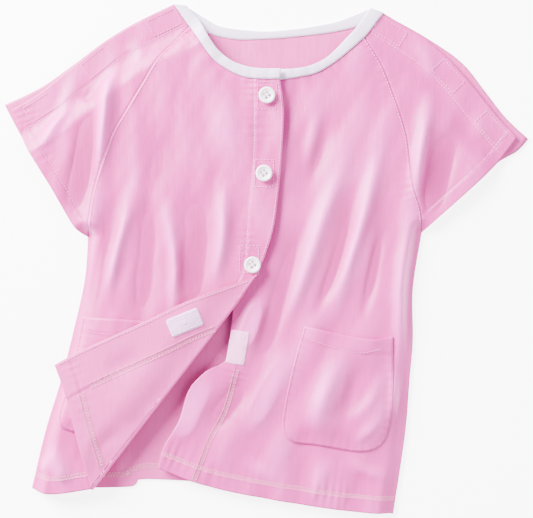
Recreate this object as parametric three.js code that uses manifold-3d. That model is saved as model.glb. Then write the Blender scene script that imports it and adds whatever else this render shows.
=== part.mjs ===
// Short wrap-front patient gown lying flat on its back: +X wearer's left, +Y neck, +Z up, millimetres.
import * as THREE from 'three';
import Module from 'manifold-3d';

// ---- driving dimensions (mm)
const GOWN_WIDTH = 477;       // cuff tip to cuff tip
const GOWN_LENGTH = 463;      // shoulder peak to front hem
const CLOTH = 1.0;            // one cloth layer
const GAP = 0.3;              // clearance between neighbours
const PATCH = 0.8;            // hook-and-loop tape thickness
const PATCH_LENGTH = 31;
const PATCH_WIDTH = 17.5;
const TORSO_GAPE = 6.5;       // clear height inside, back to wearer's left front
const PLACKET_WIDTH = 27;
const FACING_WIDTH = 32;
const HEM_WIDTH = 14;
const CUFF_HEM_WIDTH = 10;
const POCKET_GAPE = 5;        // clear height inside a pocket
const POCKET_WALL = 2;
const BUTTON_DIAMETER = 15;
const BUTTON_THICKNESS = 2.6;
const BUTTON_HOLE = 2.0;
const BUTTON_HOLE_PITCH = 3.4;
const THREAD = 1.1;
const SHOULDER_OVERLAP = 22;  // flat closed band along each shoulder
const SIDE_ROLL = 15;         // width over which a side seam rises to its front
const SEAM_BAND = 6;          // front cloth that stays with the side seam

// ---- levels of the stacked layers
const BACK_TOP = CLOTH;
const SEAM_LOW = 2 * CLOTH + GAP;   // rides over the doubled hems
const SHOULDER_LOW = BACK_TOP + 3 * GAP + 2 * PATCH;
const LEFT_Z = BACK_TOP + TORSO_GAPE;
const LEFT_TOP = LEFT_Z + 2 * CLOTH;
const LOOP_Z = LEFT_TOP + GAP;
const HOOK_Z = LOOP_Z + PATCH + GAP;
const RIGHT_Z = HOOK_Z + PATCH + GAP;
const RIGHT_TOP = RIGHT_Z + 2 * CLOTH;
const RIGHT_POCKET_Z = RIGHT_Z + CLOTH + POCKET_GAPE;
const FLAP_LOW = RIGHT_POCKET_Z + CLOTH + GAP;
const CREASE_Z = (FLAP_LOW + RIGHT_TOP) / 2;
const HINGE_LIFT = 1.0;       // front hinge lines lie this far above the cloth

const wasm = await Module();
wasm.setup();

const KX = GOWN_WIDTH / 477;
const KY = GOWN_LENGTH / 463;
const at = ([x, y]) => [x * KX, y * KY];

// ---- seam and edge lines, wearer's right is -X
const LINES = {
  frontNeckRight: [[-70, 211], [-60, 196], [-49, 181], [-36, 171], [-21, 164], [-5, 162], [12, 162]],
  frontNeckRightInner: [[-61, 217], [-53, 202], [-44, 189], [-32, 179], [-18, 173.5], [-4, 171.6], [13, 171.6]],
  frontNeckLeft: [[-15, 162], [12, 162], [27, 164], [45, 168], [62, 178], [77, 190], [89, 201]],
  frontNeckLeftInner: [[-14, 171.6], [10, 171.6], [25, 172], [37, 174], [51, 180], [62, 189], [80, 208]],
  backNeckUpper: [[-72, 229], [-56, 219], [-40, 211], [-6, 207], [17, 208], [40, 211], [65, 216], [93, 227]],
  backNeckLower: [[-83, 231], [-70, 216], [-54, 206], [-37, 201], [-10, 199.5], [48, 204.5], [85, 212], [104, 222]],
  raglanRight: [[-70, 211], [-96, 184], [-111, 160], [-126, 135], [-139, 112], [-153, 72], [-158, 50], [-162, 20]],
  raglanLeft: [[89, 201], [104, 176], [114, 151], [121, 131], [127, 109], [132, 68], [139, 45], [141, 24]],
  sideRight: [[-162, 20], [-165, -19], [-175, -64], [-187, -111], [-201, -157], [-213, -208]],
  sideLeft: [[141, 24], [133, -27], [133, -73], [130, -109], [126, -158], [115, -231]],
  shoulderRight: [[-84, 231], [-113, 217], [-144, 199], [-175, 175], [-205, 151], [-231, 135]],
  shoulderRightBack: [[-84, 231], [-113, 218], [-144, 200], [-175, 177], [-205, 156], [-238, 140]],
  shoulderLeft: [[106, 223], [124, 212], [150, 195], [177, 169], [207, 132], [227, 110]],
  shoulderLeftBack: [[106, 223], [144, 202], [177, 179], [199, 152], [217, 129], [238, 109]],
  cuffRight: [[-231, 135], [-220, 107], [-194, 64], [-174, 30], [-162, 20]],
  cuffRightBack: [[-238, 140], [-221, 108], [-195, 64], [-174, 30], [-162, 20]],
  cuffLeft: [[227, 110], [211, 89], [197, 75], [166, 47], [141, 24]],
  cuffLeftBack: [[238, 109], [228, 98], [211, 88], [197, 74], [166, 46], [141, 24]],
  edgeRight: [[12, 162], [15, 142], [15.5, 120], [12, 71], [6, 26], [-8, -15]],
  edgeLeft: [[-15, 162], [-19, 77], [-27, -5], [-35, -75], [-48, -101], [-69, -131], [-98, -189]],
  crease: [[-8, -15], [-157, -207]],
  flapEdge: [[-8, -15], [-70, -37.5], [-107, -55], [-166, -82], [-189.5, -94.5]],
  flapHem: [[-189.5, -94.5], [-180, -121], [-171, -156], [-157, -207]],
  hemRight: [[-213, -208], [-194, -212], [-157, -207]],
  hemLeft: [[-98, -189], [-58, -204], [-9, -215], [66, -227], [115, -231]],
  hemBack: [[-213, -208], [-120, -208], [0, -212], [116, -224]],
};
const POCKET_LEFT = [[34, -60], [60, -66], [92, -72], [113, -70], [113, -115], [111, -150], [102, -168],
  [84, -174], [45, -168], [23, -165], [14, -150], [22, -104]];
const POCKET_RIGHT = [[-160, -53], [-128, -54], [-94, -57], [-98, -86], [-118, -125], [-130, -147], [-150, -156],
  [-172, -155], [-184, -144], [-174, -104]];
const FOLD_RIGHT = [[-70, 211], [-238, -214]];
const FOLD_LEFT = [[89, 201], [149, -232]];
const NOTCH_Y = -109;
const BUTTONS = [[0.4, 147], [-2.2, 77], [-12.6, -5.3]];
const HIDDEN_BUTTON = [-72.9, -56.7];
const LOOPS = [...BUTTONS, [-27, -82]];

// ---- curve helpers
function curve(points, n = 14) {
  const spline = new THREE.SplineCurve(points.map((p) => new THREE.Vector2(...at(p))));
  return spline.getSpacedPoints(n).map((p) => [p.x, p.y]);
}
const L = Object.fromEntries(Object.entries(LINES).map(([name, points]) => [name, curve(points)]));
const back = (line) => [...line].reverse();
const region = (...lines) => new wasm.CrossSection([lines.flat()], 'NonZero');
const straight = (points) => points.map(at);

function band(line, width) {
  // everything within `width` of a line
  return line.slice(1).reduce((sum, end, i) => {
    const [x0, y0] = line[i];
    const length = Math.hypot(end[0] - x0, end[1] - y0);
    const turn = Math.atan2(end[1] - y0, end[0] - x0) * 180 / Math.PI;
    const box = wasm.CrossSection.square([length + 0.02, 2 * width]).translate([-0.01, -width]);
    const disc = wasm.CrossSection.circle(width, 20).translate([length, 0]);
    return sum.add(box.add(disc).rotate(turn).translate([x0, y0]));
  }, wasm.CrossSection.circle(width, 20).translate(line[0]));
}

const half = (from, to) => {
  // the half plane to the left of a directed line
  const [x0, y0] = at(from);
  const [x1, y1] = at(to);
  const turn = Math.atan2(y1 - y0, x1 - x0) * 180 / Math.PI;
  return wasm.CrossSection.square([4000, 2000]).translate([-2000, 0]).rotate(turn).translate([x0, y0]);
};
const below = (y) => wasm.CrossSection.square([2000, 2000]).translate([-1000, y * KY - 2000]);

function largest(section) {
  return section.decompose().sort((a, b) => b.area() - a.area())[0];
}

// ---- height of the underside of the front cloth
function distance(line, x, y) {
  let best = Infinity;
  for (let i = 1; i < line.length; i += 1) {
    const [x0, y0] = line[i - 1];
    const dx = line[i][0] - x0;
    const dy = line[i][1] - y0;
    const t = Math.min(1, Math.max(0, ((x - x0) * dx + (y - y0) * dy) / (dx * dx + dy * dy)));
    best = Math.min(best, Math.hypot(x - x0 - t * dx, y - y0 - t * dy));
  }
  return best;
}
const ease = (t) => 0.5 - 0.5 * Math.cos(Math.PI * Math.min(1, Math.max(0, t)));
function drape(side) {
  const [full, shoulder, seam] = side < 0
    ? [RIGHT_Z, L.shoulderRight, L.sideRight] : [LEFT_Z, L.shoulderLeft, L.sideLeft];
  return (x, y) => Math.min(
    SHOULDER_LOW + (full - SHOULDER_LOW) * ease((distance(shoulder, x, y) - SHOULDER_OVERLAP) / 22),
    SEAM_LOW + (full - SEAM_LOW) * ease(distance(seam, x, y) / SIDE_ROLL));
}

// ---- solids
const material = (color, roughness) => new THREE.MeshStandardMaterial({ color, roughness, metalness: 0 });
const PINK = material(0xe8b0cf, 0.55);
const PINK_HEM = material(0xe2a5c6, 0.6);
const WHITE_BINDING = material(0xe6dfe8, 0.6);
const HOOK_TAPE = material(0xe2d5e2, 0.9);
const BUTTON_WHITE = material(0xfaf2f8, 0.25);
const THREAD_WHITE = material(0xf1e9f0, 0.7);

function toMesh(name, solid, look) {
  const mesh = solid.getMesh();
  const positions = new Float32Array(mesh.numVert * 3);
  for (let i = 0; i < mesh.numVert; i += 1) {
    positions.set(mesh.vertProperties.slice(i * mesh.numProp, i * mesh.numProp + 3), 3 * i);
  }
  const geometry = new THREE.BufferGeometry();
  geometry.setAttribute('position', new THREE.BufferAttribute(positions, 3));
  geometry.setIndex(new THREE.BufferAttribute(new Uint32Array(mesh.triVerts), 1));
  geometry.computeVertexNormals();
  const out = new THREE.Mesh(geometry, look);
  out.name = name;
  return out;
}

const seamed = (section) => largest(section.offset(-GAP / 2, 'Round', 2, 16)).simplify(0.15);
const flat = (name, section, z, thickness, look) =>
  toMesh(name, seamed(section).extrude(thickness).translate([0, 0, z]), look);
function draped(name, section, side, thickness, look, cell = 15) {
  const height = drape(side);
  const solid = seamed(section).extrude(thickness).refineToLength(cell).warp((v) => {
    v[2] += height(v[0], v[1]);
  });
  return toMesh(name, solid, look);
}

function tape(name, [x, y], turn, z) {
  const plate = wasm.CrossSection.square([PATCH_LENGTH, PATCH_WIDTH], true).rotate(turn).translate([x, y]);
  return toMesh(name, plate.extrude(PATCH).translate([0, 0, z]), HOOK_TAPE);
}

function pocket(name, points, z) {
  const outline = region(curve([...points, points[0]], 48));
  const inside = seamed(outline).offset(-POCKET_WALL, 'Round', 2, 16);
  const [x0, y0] = at(points[0]);
  const mouth = region([[x0, y0 - 8], [inside.bounds().max[0], y0 - 24 * KY],
    [inside.bounds().max[0], y0 + 30], [x0, y0 + 30]]);
  const hollow = inside.add(mouth.intersect(seamed(outline).offset(30, 'Round', 2, 16)));
  const shell = seamed(outline).extrude(POCKET_GAPE - GAP + CLOTH)
    .subtract(hollow.extrude(POCKET_GAPE - GAP + 1).translate([0, 0, -1]));
  return toMesh(name, shell.translate([0, 0, z - POCKET_GAPE + GAP]), PINK);
}

function buttonDisc() {
  const r = BUTTON_DIAMETER / 2;
  const t = BUTTON_THICKNESS;
  const profile = [[0, 0.2], [r - 1.4, 0], [r - 0.4, 0.5], [r, t * 0.5], [r - 0.5, t - 0.3], [r - 1.2, t],
    [r - 2.1, t - 0.3], [r - 2.9, t - 1.0], [0, t - 1.0]];
  const lathe = wasm.CrossSection.ofPolygons([profile]).revolve(32);
  return holes().reduce((disc, [x, y]) => disc.subtract(
    wasm.Manifold.cylinder(8, BUTTON_HOLE / 2, BUTTON_HOLE / 2, 12).translate([x, y, -2])), lathe);
}
const holes = () => [[-1, -1], [1, -1], [1, 1], [-1, 1]].map(([x, y]) =>
  [x * BUTTON_HOLE_PITCH / 2, y * BUTTON_HOLE_PITCH / 2]);

const SHANK = 1.3;            // gap under a sewn button
function buttonThread() {
  // a shank, four posts through the holes and two bars over the web
  const web = SHANK + BUTTON_THICKNESS - 1.0;
  const shank = wasm.Manifold.cylinder(SHANK - 0.2, 1.7, 3.2, 16).translate([0, 0, 0]);
  const posts = holes().map(([x, y]) => wasm.Manifold
    .cylinder(web + 0.8 - 0.6, THREAD / 2, THREAD / 2, 8).translate([x, y, 0.6]));
  const bars = [-1, 1].map((s) => wasm.Manifold.cube([THREAD, BUTTON_HOLE_PITCH + THREAD, 0.7], true)
    .translate([s * BUTTON_HOLE_PITCH / 2, 0, web + 0.7]));
  return [...posts, ...bars].reduce((sum, part) => sum.add(part), shank);
}

function sewnButton(number, [x, y], z, turn, flipped) {
  const group = new THREE.Group();
  group.name = `button_${number}_assembly`;
  group.add(toMesh(`button_${number}`, buttonDisc().translate([0, 0, SHANK]), BUTTON_WHITE));
  group.add(toMesh(`button_${number}_thread`, buttonThread(), THREAD_WHITE));
  group.rotation.set(flipped ? Math.PI : 0, 0, turn * Math.PI / 180);
  group.position.set(x, y, z);
  return group;
}

// ---- sub-assemblies
function backAssembly() {
  const group = new THREE.Group();
  group.name = 'back';
  const body = region(L.backNeckLower.slice(2, 13), L.raglanLeft, L.sideLeft.slice(1, -1), back(L.hemBack),
    back(L.sideRight).slice(1), back(L.raglanRight).slice(1));
  const hem = body.intersect(band(L.hemBack, HEM_WIDTH));
  group.add(flat('back_panel', body.subtract(hem), 0, CLOTH, PINK));
  group.add(flat('back_hem', hem, 0, 2 * CLOTH, PINK_HEM));
  const binding = region(L.backNeckUpper, back(L.backNeckLower));
  group.add(flat('back_neck_binding', binding, 0, 2 * CLOTH, WHITE_BINDING));
  const right = region(L.raglanRight, back(L.cuffRightBack).slice(1), back(L.shoulderRightBack).slice(1),
    straight([[-60, 211]])).subtract(binding).subtract(body);
  const left = region(L.raglanLeft, back(L.cuffLeftBack).slice(1), back(L.shoulderLeftBack).slice(1),
    straight([[79, 210]])).subtract(binding).subtract(body);
  [['right', right, L.cuffRightBack], ['left', left, L.cuffLeftBack]].forEach(([side, sleeve, cuff]) => {
    const edge = sleeve.intersect(band(cuff, CUFF_HEM_WIDTH));
    group.add(flat(`${side}_sleeve_back`, sleeve.subtract(edge), 0, CLOTH, PINK));
    group.add(flat(`${side}_cuff_hem_back`, edge, 0, 2 * CLOTH, PINK_HEM));
  });
  return group;
}

function frontRegions(side) {
  // wearer's right (-1) or left (+1) front, split into the cloth that stays and the cloth that opens
  const right = side < 0;
  const whole = right
    ? region(L.frontNeckRight, L.edgeRight.slice(1), L.crease.slice(1), back(L.hemRight).slice(1),
      back(L.sideRight).slice(1), back(L.raglanRight).slice(1, -1))
    : region(back(L.frontNeckLeft), L.edgeLeft.slice(1), L.hemLeft.slice(1), back(L.sideLeft).slice(1),
      back(L.raglanLeft).slice(1, -1));
  const outboard = right ? half(FOLD_RIGHT[1], FOLD_RIGHT[0]) : half(FOLD_LEFT[0], FOLD_LEFT[1]);
  const seam = right ? L.sideRight : L.sideLeft;
  const stays = whole.intersect(outboard.add(band(seam, SEAM_BAND))).subtract(below(NOTCH_Y));
  return { stays, opens: whole.subtract(stays) };
}

function shoulderFrame(line, spot) {
  const i = Math.min(line.length - 2, Math.floor(spot * (line.length - 1)));
  const [x0, y0] = line[i];
  const [x1, y1] = line[i + 1];
  const t = spot * (line.length - 1) - i;
  const turn = Math.atan2(y1 - y0, x1 - x0);
  return { x: x0 + t * (x1 - x0), y: y0 + t * (y1 - y0), turn };
}

function shoulderSpots(line) {
  // shares of a shoulder line: beside the neck binding, midway, and clear of the cuff hem
  const total = line.slice(1).reduce((sum, p, i) => sum + Math.hypot(p[0] - line[i][0], p[1] - line[i][1]), 0);
  return [(PATCH_LENGTH / 2 + 3) / total, 0.5, 1 - (PATCH_LENGTH / 2 + CUFF_HEM_WIDTH + 1) / total];
}

function shoulderTapes(side, prefix, z) {
  const line = side < 0 ? L.shoulderRight : L.shoulderLeft;
  const name = side < 0 ? 'right' : 'left';
  return shoulderSpots(line).map((spot, i) => {
    const { x, y, turn } = shoulderFrame(line, spot);
    const inset = PATCH_WIDTH / 2 + 2.5;
    const place = [x + side * Math.sin(turn) * inset, y - side * Math.cos(turn) * inset];
    return tape(`${name}_shoulder_${prefix}_${i + 1}`, place, turn * 180 / Math.PI, z);
  });
}

function sleeveFront(side) {
  const right = side < 0;
  const name = right ? 'right' : 'left';
  const group = new THREE.Group();
  group.name = `${name}_sleeve_front_assembly`;
  const [raglan, cuff, shoulder] = right
    ? [L.raglanRight, L.cuffRight, L.shoulderRight] : [L.raglanLeft, L.cuffLeft, L.shoulderLeft];
  const whole = region(raglan, back(cuff).slice(1), back(shoulder).slice(1));
  const neck = right ? straight([[-84, 231], [-70, 211]]) : straight([[106, 223], [89, 201]]);
  const binding = whole.intersect(band(neck, 9));
  const hem = whole.subtract(binding).intersect(band(cuff, CUFF_HEM_WIDTH));
  group.add(draped(`${name}_sleeve_front`, whole.subtract(binding).subtract(hem), side, CLOTH, PINK, 12));
  group.add(draped(`${name}_cuff_hem_front`, hem, side, 2 * CLOTH, PINK_HEM, 12));
  group.add(draped(`${name}_shoulder_binding`, binding, side, 2 * CLOTH, WHITE_BINDING, 12));
  group.add(...shoulderTapes(side, 'hook', SHOULDER_LOW - GAP - PATCH));
  return group;
}

function rightFront() {
  const group = new THREE.Group();
  group.name = 'right_front_assembly';
  const { opens } = frontRegions(-1);
  const placket = opens.intersect(band(L.edgeRight, PLACKET_WIDTH));
  const hem = opens.subtract(placket).intersect(band(L.hemRight, HEM_WIDTH));
  const neck = region(L.frontNeckRightInner, back(L.frontNeckRight));
  group.add(draped('right_front_panel', opens.subtract(placket).subtract(hem), -1, CLOTH, PINK));
  group.add(draped('right_placket', placket, -1, 2 * CLOTH, PINK_HEM, 30));
  group.add(draped('right_front_hem', hem, -1, 2 * CLOTH, PINK_HEM, 12));
  group.add(draped('right_neck_binding', neck, -1, 2 * CLOTH, WHITE_BINDING, 12));
  group.add(pocket('right_pocket', POCKET_RIGHT, RIGHT_POCKET_Z));
  BUTTONS.forEach((p, i) => {
    group.add(tape(`front_hook_${i + 1}`, at(p), 88, HOOK_Z));
    group.add(sewnButton(i + 1, at(p), RIGHT_TOP + GAP, 35, false));
  });
  return group;
}

function cornerFlap() {
  const group = new THREE.Group();
  group.name = 'corner_flap_assembly';
  const whole = region(L.flapEdge, L.flapHem.slice(1), back(L.crease).slice(1, -1));
  const facing = whole.intersect(band(L.flapEdge, FACING_WIDTH));
  const hem = whole.subtract(facing).intersect(band(L.flapHem, HEM_WIDTH));
  const panel = whole.subtract(facing).subtract(hem);
  group.add(flat('flap_panel', panel, FLAP_LOW + CLOTH, CLOTH, PINK));
  group.add(flat('flap_facing', facing, FLAP_LOW, 2 * CLOTH, PINK_HEM));
  group.add(flat('flap_hem', hem, FLAP_LOW, 2 * CLOTH, PINK_HEM));
  group.add(tape('front_hook_4', at(HIDDEN_BUTTON), 22 + 180, FLAP_LOW + 2 * CLOTH + GAP));
  group.add(sewnButton(4, at(HIDDEN_BUTTON), FLAP_LOW - GAP, 20, true));
  return group;
}

function leftFront() {
  const group = new THREE.Group();
  group.name = 'left_front_assembly';
  const { opens } = frontRegions(1);
  const placket = opens.intersect(band(L.edgeLeft, PLACKET_WIDTH));
  const hem = opens.subtract(placket).intersect(band(L.hemLeft, HEM_WIDTH));
  const neck = region(L.frontNeckLeftInner, back(L.frontNeckLeft));
  group.add(draped('left_front_panel', opens.subtract(placket).subtract(hem), 1, CLOTH, PINK));
  group.add(draped('left_placket', placket, 1, 2 * CLOTH, PINK_HEM, 30));
  group.add(draped('left_front_hem', hem, 1, 2 * CLOTH, PINK_HEM, 14));
  group.add(draped('left_neck_binding', neck, 1, 2 * CLOTH, WHITE_BINDING, 12));
  group.add(pocket('left_pocket', POCKET_LEFT, LEFT_Z + CLOTH + POCKET_GAPE));
  LOOPS.forEach((p, i) => group.add(tape(`front_loop_${i + 1}`, at(p), i === 3 ? 80 : 88, LOOP_Z)));
  return group;
}

const gown = new THREE.Group();
gown.name = 'patient_gown';
const shell = backAssembly();
[-1, 1].forEach((side) => {
  const name = side < 0 ? 'right_front_side' : 'left_front_side';
  shell.add(draped(name, frontRegions(side).stays, side, CLOTH, PINK, 8));
  shell.add(...shoulderTapes(side, 'loop', BACK_TOP + GAP));
});
gown.add(shell, rightFront(), cornerFlap(), leftFront(), sleeveFront(-1), sleeveFront(1));

// stand the group on z = 0 over its own centre
gown.updateMatrixWorld(true);
const box = new THREE.Box3().setFromObject(gown, true);
const centre = box.getCenter(new THREE.Vector3());
gown.position.set(-centre.x, -centre.y, -box.min.z);
gown.updateMatrixWorld(true);
gown.userData = {
  shift: gown.position.toArray(),
  size: box.getSize(new THREE.Vector3()).toArray(),
  levels: { LEFT_Z, RIGHT_Z, RIGHT_TOP, FLAP_LOW, CREASE_Z, hinge: RIGHT_Z + CLOTH + HINGE_LIFT,
    leftHinge: LEFT_Z + CLOTH + HINGE_LIFT },
  scale: [KX, KY],
};

export default gown;
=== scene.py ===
import math
import bmesh
import bpy
import numpy as np
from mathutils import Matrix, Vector


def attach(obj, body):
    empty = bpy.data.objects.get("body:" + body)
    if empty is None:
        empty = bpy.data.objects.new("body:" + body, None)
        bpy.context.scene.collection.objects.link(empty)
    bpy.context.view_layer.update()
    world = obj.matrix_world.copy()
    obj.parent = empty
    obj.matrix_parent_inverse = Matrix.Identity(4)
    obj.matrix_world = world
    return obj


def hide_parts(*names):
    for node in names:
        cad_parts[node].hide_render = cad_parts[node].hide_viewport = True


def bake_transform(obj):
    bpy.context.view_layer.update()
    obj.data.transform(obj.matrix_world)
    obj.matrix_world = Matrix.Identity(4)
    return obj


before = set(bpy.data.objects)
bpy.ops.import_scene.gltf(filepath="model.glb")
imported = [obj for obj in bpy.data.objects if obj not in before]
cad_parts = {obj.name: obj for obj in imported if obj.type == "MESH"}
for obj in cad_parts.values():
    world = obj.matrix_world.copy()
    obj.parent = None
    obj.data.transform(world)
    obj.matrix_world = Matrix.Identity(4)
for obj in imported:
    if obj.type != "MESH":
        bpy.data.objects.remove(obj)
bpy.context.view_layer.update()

MM = 0.001
RNG = np.random.default_rng(7)

# ---------------------------------------------------------------- sizes, in millimetres
CLOTH = 0.6
SIGN = {"right": -1, "left": 1}

# heights above the floor
SEAM_LOW = 2.2  # at the side seams
SHOULDER_LOW = 3.9  # over the closed shoulder overlap
FOLD_FLOOR = 3.7  # a fold in cloth that lies higher than this doesn't dip below it
LEFT_Z = 8.0
RIGHT_Z = 12.5
FLAP_Z = 20.0
CREASE_Z = 15.4  # the turned-back corner at its crease
UNDER_FLAP_Z = 9.9  # the left front is pressed down to this where the corner closes over it
SHOULDER_HOOK_Z = 2.25
SHOULDER_LOOP_Z = 1.4
LOWEST_BUTTON_SEAT = 14.3
HIDDEN_BUTTON_Z = 17.3

# widths and lengths
SHOULDER_OVERLAP = 22
SIDE_ROLL = 15
HEM = 14
BACK_HEM = 12
CUFF_HEM = 11
POCKET_HEM = 14
FACING = 32
BINDING_THICKNESS = 2.4
STITCH = 2.3
STITCH_PITCH = 3.0
FOLD_GAIN = 2.2  # folds stand this many times as high as their tables say
FOLD_DEPTH = 2.2  # and never dip further than this below the cloth round them
FOLD_SHADING_REACH = 5.5  # drape height that takes most of the change in painted fold shading

LINES = {
    "neck_right": [(-70, 211), (-60, 196), (-49, 181), (-36, 171), (-21, 164), (-5, 162), (12, 162)],
    "neck_right_in": [(-61, 217), (-53, 202), (-44, 189), (-32, 179), (-18, 173.5), (-4, 171.6),
                      (13, 171.6)],
    "neck_left": [(-15, 162), (12, 162), (27, 164), (45, 168), (62, 178), (77, 190), (89, 201)],
    "neck_left_in": [(-14, 171.6), (10, 171.6), (25, 172), (37, 174), (51, 180), (62, 189), (80, 208)],
    "neck_back_up": [(-72, 229), (-56, 219), (-40, 211), (-6, 207), (17, 208), (40, 211), (65, 216),
                     (93, 227)],
    "neck_back_low": [(-83, 231), (-70, 216), (-54, 206), (-37, 201), (-10, 199.5), (48, 204.5), (85, 212),
                      (104, 222)],
    "raglan_right": [(-70, 211), (-96, 184), (-111, 160), (-126, 135), (-139, 112), (-153, 72), (-158, 50),
                     (-162, 20)],
    "raglan_left": [(89, 201), (104, 176), (114, 151), (121, 131), (127, 109), (132, 68), (139, 45),
                    (141, 24)],
    "side_right": [(-162, 20), (-165, -19), (-175, -64), (-187, -111), (-201, -157), (-213, -208)],
    "side_left": [(141, 24), (133, -27), (133, -73), (130, -109), (126, -158), (115, -231)],
    "shoulder_right": [(-84, 231), (-113, 217), (-144, 199), (-175, 175), (-205, 151), (-231, 135)],
    "shoulder_right_back": [(-84, 231), (-113, 218), (-144, 200), (-175, 177), (-205, 156), (-238, 140)],
    "shoulder_left": [(106, 223), (124, 212), (150, 195), (177, 169), (207, 132), (227, 110)],
    "shoulder_left_back": [(106, 223), (144, 202), (177, 179), (199, 152), (217, 129), (238, 109)],
    "cuff_right": [(-231, 135), (-220, 107), (-194, 64), (-174, 30), (-162, 20)],
    "cuff_right_back": [(-238, 140), (-221, 108), (-195, 64), (-174, 30), (-162, 20)],
    "cuff_left": [(227, 110), (211, 89), (197, 75), (166, 47), (141, 24)],
    "cuff_left_back": [(238, 109), (228, 98), (211, 88), (197, 74), (166, 46), (141, 24)],
    "edge_right": [(12, 162), (15, 142), (15.5, 120), (12, 71), (6, 26), (-8, -15)],
    "edge_left": [(-15, 162), (-19, 77), (-27, -5), (-33, -70), (-37, -92), (-54, -101), (-70, -118),
                  (-79, -146), (-93, -170), (-98, -189)],
    "placket_seam_right": [(-11, 162), (-11, 99), (-15, 54), (-19, -1), (-25, -21)],
    "facing_seam_left": [(-27, -100), (-37, -136), (-51, -163), (-66, -201)],
    "crease": [(-8, -15), (-157, -207)],
    "flap_edge": [(-8, -15), (-70, -37.5), (-107, -55), (-166, -82), (-189.5, -94.5)],
    "flap_hem": [(-189.5, -94.5), (-180, -121), (-171, -156), (-157, -207)],
    "hem_right": [(-213, -208), (-194, -212), (-157, -207)],
    "hem_left": [(-98, -189), (-58, -204), (-9, -215), (66, -227), (115, -231)],
    "hem_back": [(-213, -208), (-125, -207), (-108, -200), (0, -208), (116, -224)],
    "pocket_left_top": [(34, -60), (60, -66), (92, -72), (114, -70)],
    "pocket_left_bag": [(34, -60), (22, -104), (14, -150), (23, -165), (45, -168), (84, -174), (102, -168),
                        (111, -150), (114, -110), (114, -70)],
    "pocket_right_top": [(-166, -52), (-130, -54), (-94, -57)],
    "pocket_right_bag": [(-166, -52), (-176, -104), (-188, -144), (-176, -155), (-150, -156), (-130, -147),
                         (-118, -125), (-98, -86), (-94, -57)],
}
BUTTONS = [(0.4, 147), (-2.2, 77), (-12.6, -5.3)]
BUTTON_TURN = 35
HIDDEN_BUTTON = (-72.9, -56.7)
HIDDEN_BUTTON_TURN = 20
BUTTON_BOXES = BUTTONS[:2] + [(-15.6, 0)]  # centres of the box stitches round them
BUTTON_RADIUS = 7.5
BUTTON_THICKNESS = 2.6
HOLE_RADIUS = 1.1
HOLE_OFFSET = 1.7
HOLES = [(-HOLE_OFFSET, -HOLE_OFFSET), (HOLE_OFFSET, -HOLE_OFFSET), (HOLE_OFFSET, HOLE_OFFSET),
         (-HOLE_OFFSET, HOLE_OFFSET)]

TAPE_LENGTH = 30.5
TAPE_WIDTH = 17.0
LOOPS = BUTTONS[:2] + [(-15.1, -1.3), (-26, -80)]  # the front's loop tapes; the hook tapes lie over them
LOOP_LENGTHS = (TAPE_LENGTH, TAPE_LENGTH, 27, TAPE_LENGTH)
PLACKET_TURN = math.radians(88)
LOOP_TURNS = (PLACKET_TURN, PLACKET_TURN, PLACKET_TURN, math.radians(80))
FLAP_TAPE_TURN = math.radians(22)
SHOULDER_SPOTS = (0.09, 0.5, 0.87)  # shares of the shoulder line
SHOULDER_TAPE_INSET = 11.2


# ---------------------------------------------------------------- curves in the plane
def spline(points, n=60):
    """n + 1 evenly spaced points on a smooth curve through the given ones."""
    p = np.array(points, float)
    q = np.vstack([p[0], p, p[-1]])
    out = []
    for i in range(len(p) - 1):
        a, b, c, d = q[i], q[i + 1], q[i + 2], q[i + 3]
        for t in np.linspace(0, 1, 40, endpoint=False):
            out.append(0.5 * (2 * b + (c - a) * t + (2 * a - 5 * b + 4 * c - d) * t ** 2
                              + (3 * b - a - 3 * c + d) * t ** 3))
    return even(np.vstack([out, p[-1]]), n)


def even(line, n):
    """The same line with n + 1 evenly spaced points."""
    along = np.concatenate([[0], np.cumsum(np.linalg.norm(np.diff(line, axis=0), axis=1))])
    at = np.linspace(0, along[-1], n + 1)
    return np.column_stack([np.interp(at, along, line[:, k]) for k in range(line.shape[1])])


L = {name: spline(points) for name, points in LINES.items()}


def length(line):
    return float(np.linalg.norm(np.diff(line, axis=0), axis=1).sum())


def joined(*names, n=120):
    """Several lines end to end; a name starting with - is taken backwards."""
    parts = [L[name[1:]][::-1] if name[0] == "-" else L[name] for name in names]
    return even(np.vstack(parts), n)


def distance(line, xy):
    """(distance to a line, length along it) of every point of xy."""
    flat = xy.reshape(-1, 2)
    best = np.full(len(flat), 1e9)
    where = np.zeros(len(flat))
    start = 0.0
    for a, b in zip(line[:-1], line[1:]):
        d = b - a
        size = float(d @ d) + 1e-9
        t = np.clip(((flat - a) @ d) / size, 0, 1)
        off = np.linalg.norm(flat - a - t[:, None] * d, axis=1)
        nearer = off < best
        best[nearer] = off[nearer]
        where[nearer] = start + t[nearer] * math.sqrt(size)
        start += math.sqrt(size)
    return best.reshape(xy.shape[:-1]), where.reshape(xy.shape[:-1])


def ease(t):
    """0 to 1 with soft ends, as t goes from 0 to 1."""
    return 0.5 - 0.5 * np.cos(np.pi * np.clip(t, 0, 1))


def inset(line, width):
    """A line moved sideways by width, to its left."""
    t = np.gradient(line, axis=0)
    t /= np.linalg.norm(t, axis=1, keepdims=True) + 1e-9
    return line + width * np.column_stack([-t[:, 1], t[:, 0]])


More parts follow.
